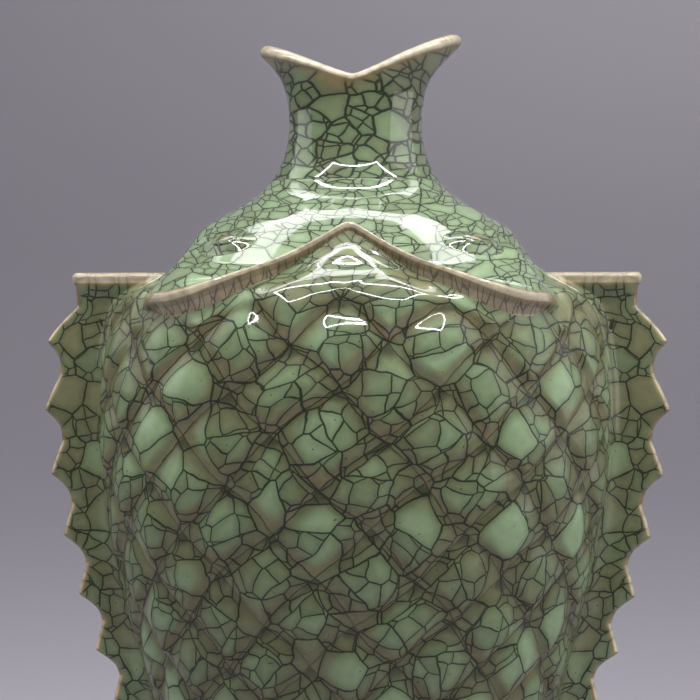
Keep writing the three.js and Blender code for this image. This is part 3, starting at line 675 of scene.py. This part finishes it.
class Recipe:
    """A material and the nodes in it."""

    def __init__(self, name):
        self.material = bpy.data.materials.new(name)
        self.material.use_nodes = True
        self.tree = self.material.node_tree
        self.tree.nodes.clear()

    def node(self, kind, settings=None, sockets=None):
        made = self.tree.nodes.new("ShaderNode" + kind)
        for key, value in (settings or {}).items():
            setattr(made, key, value)
        for key, value in (sockets or {}).items():
            self.feed(made.inputs[key], value)
        return made

    def feed(self, socket, value):
        if isinstance(value, Amount):
            self.tree.links.new(value.socket, socket)
        elif isinstance(value, bpy.types.NodeSocket):
            self.tree.links.new(value, socket)
        else:
            socket.default_value = value

    def amount(self, kind, settings=None, sockets=None, output=0):
        return Amount(self, self.node(kind, settings, sockets).outputs[output])

    def attribute(self, name):
        return self.amount("Attribute", {"attribute_name": name}, output="Fac")

    def mixed(self, share, first, second):
        """A colour between two others."""
        made = self.node("Mix", {"data_type": "RGBA"})
        sockets = {"Factor": share, "A": first, "B": second}
        for socket in made.inputs:
            if socket.enabled and socket.name in sockets:
                self.feed(socket, sockets[socket.name])
        return next(socket for socket in made.outputs if socket.enabled)

    def vector(self, operation, *values):
        return self.node("VectorMath", {"operation": operation}, dict(enumerate(values))).outputs["Vector"]

    def scaled(self, place, size):
        return self.vector("MULTIPLY", place, (size,) * 3)

    def wander(self, place, size, reach):
        """The place moved by a smooth noise of that size, by up to about reach."""
        noise = self.node("TexNoise", {"noise_dimensions": "2D"},
                          {"Vector": place, "Scale": 1 / size, "Detail": 2.0}).outputs["Color"]
        centred = self.vector("SUBTRACT", noise, (0.5, 0.5, 0.5))
        return self.vector("ADD", place, self.scaled(centred, 2 * reach))

    def noise(self, place, size, detail=2.0, dimensions="2D"):
        return self.amount("TexNoise", {"noise_dimensions": dimensions},
                           {"Vector": place, "Scale": 1 / size, "Detail": detail})

    def cells(self, place, size, randomness=1.0):
        """Crackle cells of about that size: millimetres to the nearest crack, and a random colour."""
        settings = {"voronoi_dimensions": "2D", "feature": "DISTANCE_TO_EDGE"}
        sockets = {"Vector": place, "Scale": 1 / size, "Randomness": randomness}
        to_crack = self.amount("TexVoronoi", settings, sockets, "Distance") * size
        return to_crack, self.node("TexVoronoi", {**settings, "feature": "F1"}, sockets).outputs["Color"]

    def parts(self, colour):
        """The three numbers in a colour or a place."""
        outputs = self.node("SeparateColor", {}, {0: colour}).outputs
        return [Amount(self, outputs[i]) for i in range(3)]

    def surface(self, clear=None, **sockets):
        """The finished material. Clear is the share of it that lets the view through."""
        sockets = {key.replace("_", " "): value for key, value in sockets.items()}
        shader = self.node("BsdfPrincipled", {}, sockets).outputs[0]
        if clear is not None:
            gap = self.node("BsdfTransparent").outputs[0]
            shader = self.node("MixShader", {}, {0: clear, 1: shader, 2: gap}).outputs[0]
        self.node("OutputMaterial", {}, {"Surface": shader})
        return self.material


# The glaze where it lies thick and where it thins, where it pools, its cracks and the stained scale edges.
# The pool colour also paints shade into the scales' pits and hollows and onto the lower body, and the cream
# also paints highlights along the rim, the gill beads and the fins' edges.
PALE_GREEN = srgb(139, 161, 124)
GREEN = srgb(122, 140, 104)
OLIVE = srgb(116, 117, 86)
TAN = srgb(141, 123, 86)
CREAM_AND_HIGHLIGHT = srgb(197, 185, 162)
POOL_AND_SHADE = srgb(54, 58, 44)
CRACK = srgb(36, 42, 28)
RUST = srgb(62, 46, 31)
# One scale's side in the scales' crackle, in millimetres, and how much the cells crowd at its edges.
LATTICE_SIZE = 16.3
CROWDING = 0.3


def crackle(r, place, size, small_size, width, splits):
    """Old cracks, and between them in some cells newer ones, which end at the old ones.

    Returns the lines, millimetres to the nearest, two random numbers of the smallest cell, and whether the
    old cell is whole. The newer cells are turned by a random angle in each old cell, and lie far off where it
    is whole."""
    old, hue = r.cells(place, size, 0.75)
    luck, turn, tint = r.parts(hue)
    turned = r.node("VectorRotate", {"rotation_type": "Z_AXIS"}, {"Vector": place, "Angle": turn * 6.0})
    new, new_hue = r.cells(turned.outputs[0], small_size, 0.55)
    _, new_tint, new_shade = r.parts(new_hue)
    split = (luck + splits).above(0.5)
    whole = 1 - split
    far_off = 9.0
    to_crack = old.under(new * split + far_off * whole)
    old_lines = 1 - old.ramp(0.36 * width, 1.1 * width)
    new_lines = (1 - new.ramp(0.25 * width, 0.95 * width)) * split
    cell_tint = tint * 0.4 + (new_tint * split + tint * whole) * 0.6
    return old_lines.over(new_lines), to_crack, cell_tint, new_shade * split, whole


def crowd(line):
    """A lattice coordinate that runs faster near the lines between scales, so that cells are small there."""
    return line + line.wave("SINE") * (CROWDING / (2 * math.pi))


def crackle_glaze(name, chart="glaze_chart", size=8.8, small_size=4.8, width=0.29, scales=False, ribs=False,
                  split=0.27, green=0.5, shine=1.0):
    """A glossy celadon glaze with dark crackle: pale green where it lies thick, olive and tan where it thins,
    cream where it thins most and as a painted highlight on edges, and on the scales painted shade in their
    pits, under their steps and low down.

    Sizes and the cracks' width are in millimetres. Split raises the share of old cells with newer cracks."""
    r = Recipe(name)
    thin_and_highlight = r.attribute("thin_and_highlight")
    chart = r.node("UVMap", {"uv_map": chart}).outputs["UV"]
    if scales:
        lattice = r.node("UVMap", {"uv_map": "scale_lattice"}).outputs["UV"]
        a, b, _ = r.parts(lattice)
        crowded = r.node("CombineXYZ", {}, {0: crowd(a), 1: crowd(b), 2: 0.0}).outputs[0]
        place = r.scaled(crowded, LATTICE_SIZE)
        width = width * (1 + (a.wave("COSINE") + b.wave("COSINE")) * (CROWDING / 2))
    else:
        place = chart
    place = r.wander(r.wander(place, 12, 1.8), 3.6, 0.3)

    lines, to_crack, tint, shade, whole = crackle(r, place, size, small_size, width, split)
    if ribs:
        edge_place = r.node("CombineXYZ", {}, {0: r.attribute("edge_along"),
                                               1: r.attribute("edge_across") * 0.4, 2: 0.0}).outputs[0]
        to_rib, _ = r.cells(r.wander(edge_place, 6, 0.7), 2.2, 0.9)
        share = r.attribute("edge_share")
        lines = lines * (1 - share) + (1 - to_rib.ramp(0.04, 0.2)) * share

    cloud = r.noise(chart, 19)
    bloom = r.noise(chart, 2.2, 3.0)
    green_share = tint * 0.5 + (cloud - 0.5) * 0.9 + green
    if scales:
        relief = r.attribute("relief")
        a, b, _ = r.parts(r.vector("FRACTION", r.wander(lattice, 0.35, 0.05)))
        dome = (a * (1 - a) * b * (1 - b) * 16).ramp(0.1, 0.95) * relief + 0.6 * (1 - relief)
        green_share = dome * (0.5 + 0.2 * whole) + tint * 0.5 + (cloud - 0.5) * 0.9 - 0.02
    colour = r.mixed(green_share.ramp(0.25, 0.75), OLIVE, GREEN)
    colour = r.mixed(green_share.ramp(0.6, 1.1), colour, PALE_GREEN)
    colour = r.mixed(bloom.ramp(0.35, 0.75) * 0.1 + shade * 0.2, colour, POOL_AND_SHADE)
    if scales:
        lower_edge = a.over(b).ramp(0.78, 0.97) * a.under(b).ramp(0.1, 0.75)
        lower_corner = (a + b).ramp(1.5, 1.8)
        ridge = lower_edge.over(lower_corner) * relief
        edge_place = r.scaled(r.wander(r.scaled(lattice, LATTICE_SIZE), 4, 0.5), 1 / LATTICE_SIZE)
        edge_a, edge_b, _ = r.parts(edge_place)
        to_edge = edge_a.to_whole().under(edge_b.to_whole()) * LATTICE_SIZE
        edge_line = (1 - to_edge.ramp(0.08, 0.3)) * relief * (0.5 + 0.5 * shade.over(cloud.ramp(0.4, 0.6)))
        # Painted shade in the hollows: under each scale's step and in the pit where the steps cross.
        seat_shade = (1 - a.under(b).ramp(0.0, 0.16)) * relief
        pit_shade = (1 - (a * a + b * b).ramp(0.005, 0.07)) * relief
        # Painted shade that darkens the body towards the bottom, where less light falls.
        low_down_shade = r.attribute("along").ramp(along_at(120), along_at(205), 1.0, 0.0)
        colour = r.mixed(ridge * (0.08 + 0.3 * cloud.ramp(0.35, 0.65) + 0.25 * shade), colour, TAN)
        # Painted shade: the hollows under the steps and the pits are darkened, and the body darkens towards
        # the bottom.
        colour = r.mixed(seat_shade * 0.15, colour, POOL_AND_SHADE)
        colour = r.mixed(pit_shade * 0.75, colour, POOL_AND_SHADE)
        colour = r.mixed(low_down_shade * 0.2, colour, POOL_AND_SHADE)
    colour = r.mixed(thin_and_highlight.ramp(0.1, 0.7), colour, TAN)
    # Cream where the glaze is thinnest, which also paints highlights along the rim, the gill beads and the
    # fins' edges.
    colour = r.mixed(thin_and_highlight.ramp(0.7, 1.0) * (0.5 + 0.5 * bloom), colour, CREAM_AND_HIGHLIGHT)
    colour = r.mixed((1 - to_crack.ramp(0.1, 2.0)) * 0.3, colour, POOL_AND_SHADE)
    to_speck = r.amount("TexVoronoi", {"voronoi_dimensions": "2D", "feature": "F1"},
                        {"Vector": r.wander(chart, 40, 10), "Scale": 1 / 8}, "Distance")
    colour = r.mixed((1 - to_speck.ramp(0.012, 0.026)) * 0.8, colour, CRACK)
    if scales:
        colour = r.mixed(edge_line * 0.9, colour, RUST)
    lines = lines * (1 - 0.85 * r.attribute("smooth"))
    colour = r.mixed(lines * (0.95 - 0.35 * thin_and_highlight), colour, CRACK)

    swell = r.noise(chart, 6.5, 1.0) * 0.5 + r.noise(chart, 1.8, 1.0) * 0.06
    height = swell * 0.3 - lines * 0.05
    bump = r.node("Bump", {}, {"Height": height, "Distance": MM, "Strength": 1.0}).outputs[0]
    gloss = r.attribute("gloss") if scales else shine
    return r.surface(Base_Color=colour, Roughness=0.32 + 0.2 * lines, Specular_IOR_Level=0.12,
                     Coat_Weight=gloss, Coat_Roughness=0.05, Coat_IOR=1.5, Normal=bump)


def bare_clay():
    """Fired clay with iron in it, rough to the touch."""
    r = Recipe("bare_clay")
    place = r.node("TexCoord").outputs["Object"]
    grain = r.noise(place, 0.0009, 3.0, "3D")
    cloud = r.noise(place, 0.009, 3.0, "3D")
    colour = r.mixed(cloud.ramp(0.3, 0.7), srgb(88, 62, 48), srgb(120, 88, 66))
    colour = r.mixed(grain.ramp(0.5, 0.72) * 0.5, colour, srgb(60, 42, 34))
    bump = r.node("Bump", {}, {"Height": grain * 0.2, "Distance": MM, "Strength": 0.8}).outputs[0]
    return r.surface(Base_Color=colour, Roughness=0.7 + 0.2 * grain, Normal=bump)


def floor_glaze():
    """The glaze that pooled inside, on the vase's floor."""
    r = Recipe("floor_glaze")
    place = r.scaled(r.node("TexCoord").outputs["Object"], 1 / MM)
    to_crack, _ = r.cells(r.wander(place, 13, 1.5), 7.0)
    crack = 1 - to_crack.ramp(0.15, 0.4)
    colour = r.mixed(r.noise(place, 9), srgb(120, 142, 112), srgb(140, 150, 116))
    colour = r.mixed(crack * 0.9, colour, CRACK)
    return r.surface(Base_Color=colour, Roughness=0.3 + 0.2 * crack, Coat_Weight=0.8, Coat_Roughness=0.05)


scale_glaze = crackle_glaze("scale_glaze", scales=True)
head_glaze = crackle_glaze("head_glaze", size=7.5, small_size=4.0, ribs=True, green=0.68, split=0.35)
mouth_glaze = crackle_glaze("mouth_glaze", size=6.6, small_size=3.8, width=0.42, green=0.34, split=0.35)
tail_glaze = crackle_glaze("tail_glaze", green=0.3)
fin_glaze = crackle_glaze("fin_glaze", chart="fin_chart", size=7.4, small_size=4.3, width=0.27, green=0.16,
                          split=0.3, shine=0.5)
eye_glaze = crackle_glaze("eye_lid_glaze", size=5.0, small_size=3.6, green=0.55)
pupil_glaze = crackle_glaze("pupil_glaze", size=5.0, small_size=3.0, green=0.3)
clay = bare_clay()


def foot_ring(material):
    """The bare ring that the vase stands on, with softened edges."""
    half_width, half_depth = STATIONS[0, 1] - FOOT_RING_INSET, STATIONS[0, 2] - FOOT_RING_INSET
    soft = FOOT_RING_SOFTENING
    outer = [(soft * (1 - math.cos(t)), soft * (1 - math.sin(t))) for t in np.linspace(0, math.pi / 2, 5)]
    inner = [(FOOT_RING_WIDTH - inset, height) for inset, height in outer]
    section = [(0, FOOT_HEIGHT), *outer, *inner[::-1], (FOOT_RING_WIDTH, FOOT_HEIGHT), (0, FOOT_HEIGHT)]
    inset, height = np.array(section).T[..., None]
    angle = np.linspace(0, 2 * math.pi, 129)
    places = np.stack([(half_width - inset) * np.cos(angle), (half_depth - inset) * np.sin(angle),
                       height + 0 * angle], axis=-1) * MM
    finish_piece("bare_foot_ring", "foot_ring", material, laid_grid(places, {}))


for side in SIDES:
    fish_body(side, scale_glaze)
    fish_head(side, head_glaze)
    fish_mouth(side, mouth_glaze)
    fish_tail(side, tail_glaze)
    dorsal_fin(side, fin_glaze)
    for face in ("front", "back"):
        eye = f"{side}_{face}_"
        eye_button(eye + "lid", eye + "eye_lid", eye_glaze,
                   side, face, EYE_LID_SIZE[:2], lid_profile)
        eye_button(eye + "eye_bead", eye + "pupil", pupil_glaze,
                   side, face, PUPIL_SIZE, pupil_profile, worn=0.5)
foot_ring(clay)
floor_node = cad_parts["vase_floor"]
floor_node.data.materials.clear()
floor_node.data.materials.append(floor_glaze())


# Stage.

def studio_paper():
    """A sweep of paper: a pale floor that curves up into a wall, with painted shade that darkens it to the
    left and half way up.

    The paper is clear from its back, so that the vase is seen from behind as well."""
    r = Recipe("studio_paper")
    place = r.node("TexCoord").outputs["Object"]
    x, _, z = r.parts(place)
    low = z.ramp(-0.05, 0.16)
    high = z.ramp(0.14, 0.42)
    # Painted shade and light on the paper: darker half way up the wall, and lighter again higher up, more so
    # to the right.
    colour = r.mixed(low, srgb(181, 177, 187), srgb(121, 118, 126))
    colour = r.mixed(high * x.ramp(-0.25, 0.15, 0.25, 1.0), colour, srgb(162, 158, 165))
    cloud = r.noise(place, 0.4, 1.0, "3D")
    colour = r.mixed(cloud.ramp(0.35, 0.7) * 0.12, colour, srgb(120, 117, 124))
    from_back = r.amount("NewGeometry", output="Backfacing") * r.amount("LightPath", output="Is Camera Ray")
    return r.surface(clear=from_back, Base_Color=colour, Roughness=0.9)


def studio_sweep(material, width=3.2, floor_reach=1.3, bend=0.25, wall_reach=1.4, wall_place=0.42):
    """The sheet in metres, level and then bent up into the wall, which stands at wall_place."""
    bm = bmesh.new()
    bmesh.ops.create_grid(bm, x_segments=2, y_segments=160, size=0.5)
    bend_length = bend * math.pi / 2
    for vert in bm.verts:
        past_floor = (vert.co.y + 0.5) * (floor_reach + bend_length + wall_reach) - floor_reach
        turn = min(max(past_floor, 0), bend_length) / bend
        y = min(past_floor, 0) + bend * math.sin(turn)
        z = bend * (1 - math.cos(turn)) + max(past_floor - bend_length, 0)
        vert.co = (vert.co.x * width, y - bend + wall_place, z)
    for face in bm.faces:
        face.smooth = True
    mesh = bpy.data.meshes.new("studio_sweep")
    bm.to_mesh(mesh)
    bm.free()
    sweep = bpy.data.objects.new("studio_sweep", mesh)
    bpy.context.scene.collection.objects.link(sweep)
    mesh.materials.append(material)


def lamp(name, place, aim, size, power, spread=math.pi):
    """A lit rectangle that faces the aim. Sizes are in metres and the power is in watts."""
    light = bpy.data.lights.new(name, "AREA")
    light.spread = spread
    light.shape = "RECTANGLE"
    light.size, light.size_y = size
    light.energy = power
    made = bpy.data.objects.new(name, light)
    made.location = place
    direction = np.array(aim) - np.array(place)
    made.rotation_euler = (math.acos(-direction[2] / np.linalg.norm(direction)), 0,
                           math.atan2(direction[0], -direction[1]) + math.pi)
    bpy.context.scene.collection.objects.link(made)


studio_sweep(studio_paper())
# A frame of four bars above and in front, which the glaze shows as outlined rings.
FRAME_CENTRE, FRAME_HALF_WIDTH, FRAME_HALF_DEPTH, BAR = (0.0, -0.27, 0.69), 0.3, 0.18, 0.022
for across in (-1, 1):
    x, y, z = FRAME_CENTRE
    side_x, end_y = x + across * FRAME_HALF_WIDTH, y + across * FRAME_HALF_DEPTH
    lamp("side_bar", (side_x, y, z), (side_x, y, 0), (BAR, 2 * FRAME_HALF_DEPTH), 1.15)
    lamp("end_bar", (x, end_y, z), (x, end_y, 0), (2 * FRAME_HALF_WIDTH, BAR), 2.3)
# Wide panels light the vase, and narrow ones only show as soft patches on its shoulder.
MIDDLE, SHOULDER, NARROW = (0, 0, 0.18), (0, 0, 0.2), math.radians(26)
lamp("fill_panel", (1.1, -0.1, 0.6), MIDDLE, (1.1, 1.1), 7.8)
lamp("left_panel", (-1.0, 0.1, 0.7), MIDDLE, (0.9, 0.9), 4.3)
lamp("top_panel", (0, 0.62, 1.1), (0, 0.1, 0.2), (1.7, 0.95), 14.0, math.radians(100))
lamp("left_patch", (-0.52, 0.57, 0.97), SHOULDER, (0.22, 0.2), 0.03, NARROW)
lamp("left_streak", (-0.35, 0.32, 0.97), SHOULDER, (0.05, 0.34), 0.007, NARROW)
lamp("right_streak", (0.2, 0.18, 0.97), SHOULDER, (0.04, 0.16), 0.0032, NARROW)

world = bpy.data.worlds.new("soft_room")
bpy.context.scene.world = world
world.use_nodes = True
room = world.node_tree.nodes["Background"]
room.inputs["Color"].default_value = srgb(249, 249, 249)
# The room looks pale past the edge of the paper, and gives the vase a third of that light.
look = world.node_tree.nodes.new("ShaderNodeMapRange")
look.inputs["To Min"].default_value, look.inputs["To Max"].default_value = 0.1, 0.3
rays = world.node_tree.nodes.new("ShaderNodeLightPath")
world.node_tree.links.new(rays.outputs["Is Camera Ray"], look.inputs["Value"])
world.node_tree.links.new(look.outputs["Result"], room.inputs["Strength"])

# Camera: level, at eye height, a little to the right of square on.
CAMERA_DISTANCE = 0.6
CAMERA_HEIGHT = 0.2
CAMERA_TURN = math.radians(3)
FRAME_WIDTH = 0.175
VASE_OFFSET = 0.0014
camera_data = bpy.data.cameras.new("camera")
camera_data.sensor_width = 36
camera_data.lens = 36 * CAMERA_DISTANCE / FRAME_WIDTH
camera_data.clip_start = 0.01
camera = bpy.data.objects.new("camera", camera_data)
c, s = math.cos(CAMERA_TURN), math.sin(CAMERA_TURN)
camera.location = (CAMERA_DISTANCE * s - VASE_OFFSET * c, -CAMERA_DISTANCE * c - VASE_OFFSET * s,
                   CAMERA_HEIGHT)
camera.rotation_euler = (math.pi / 2, 0, CAMERA_TURN)
bpy.context.scene.collection.objects.link(camera)
bpy.context.scene.camera = camera
bpy.context.scene.view_settings.view_transform = "Standard"
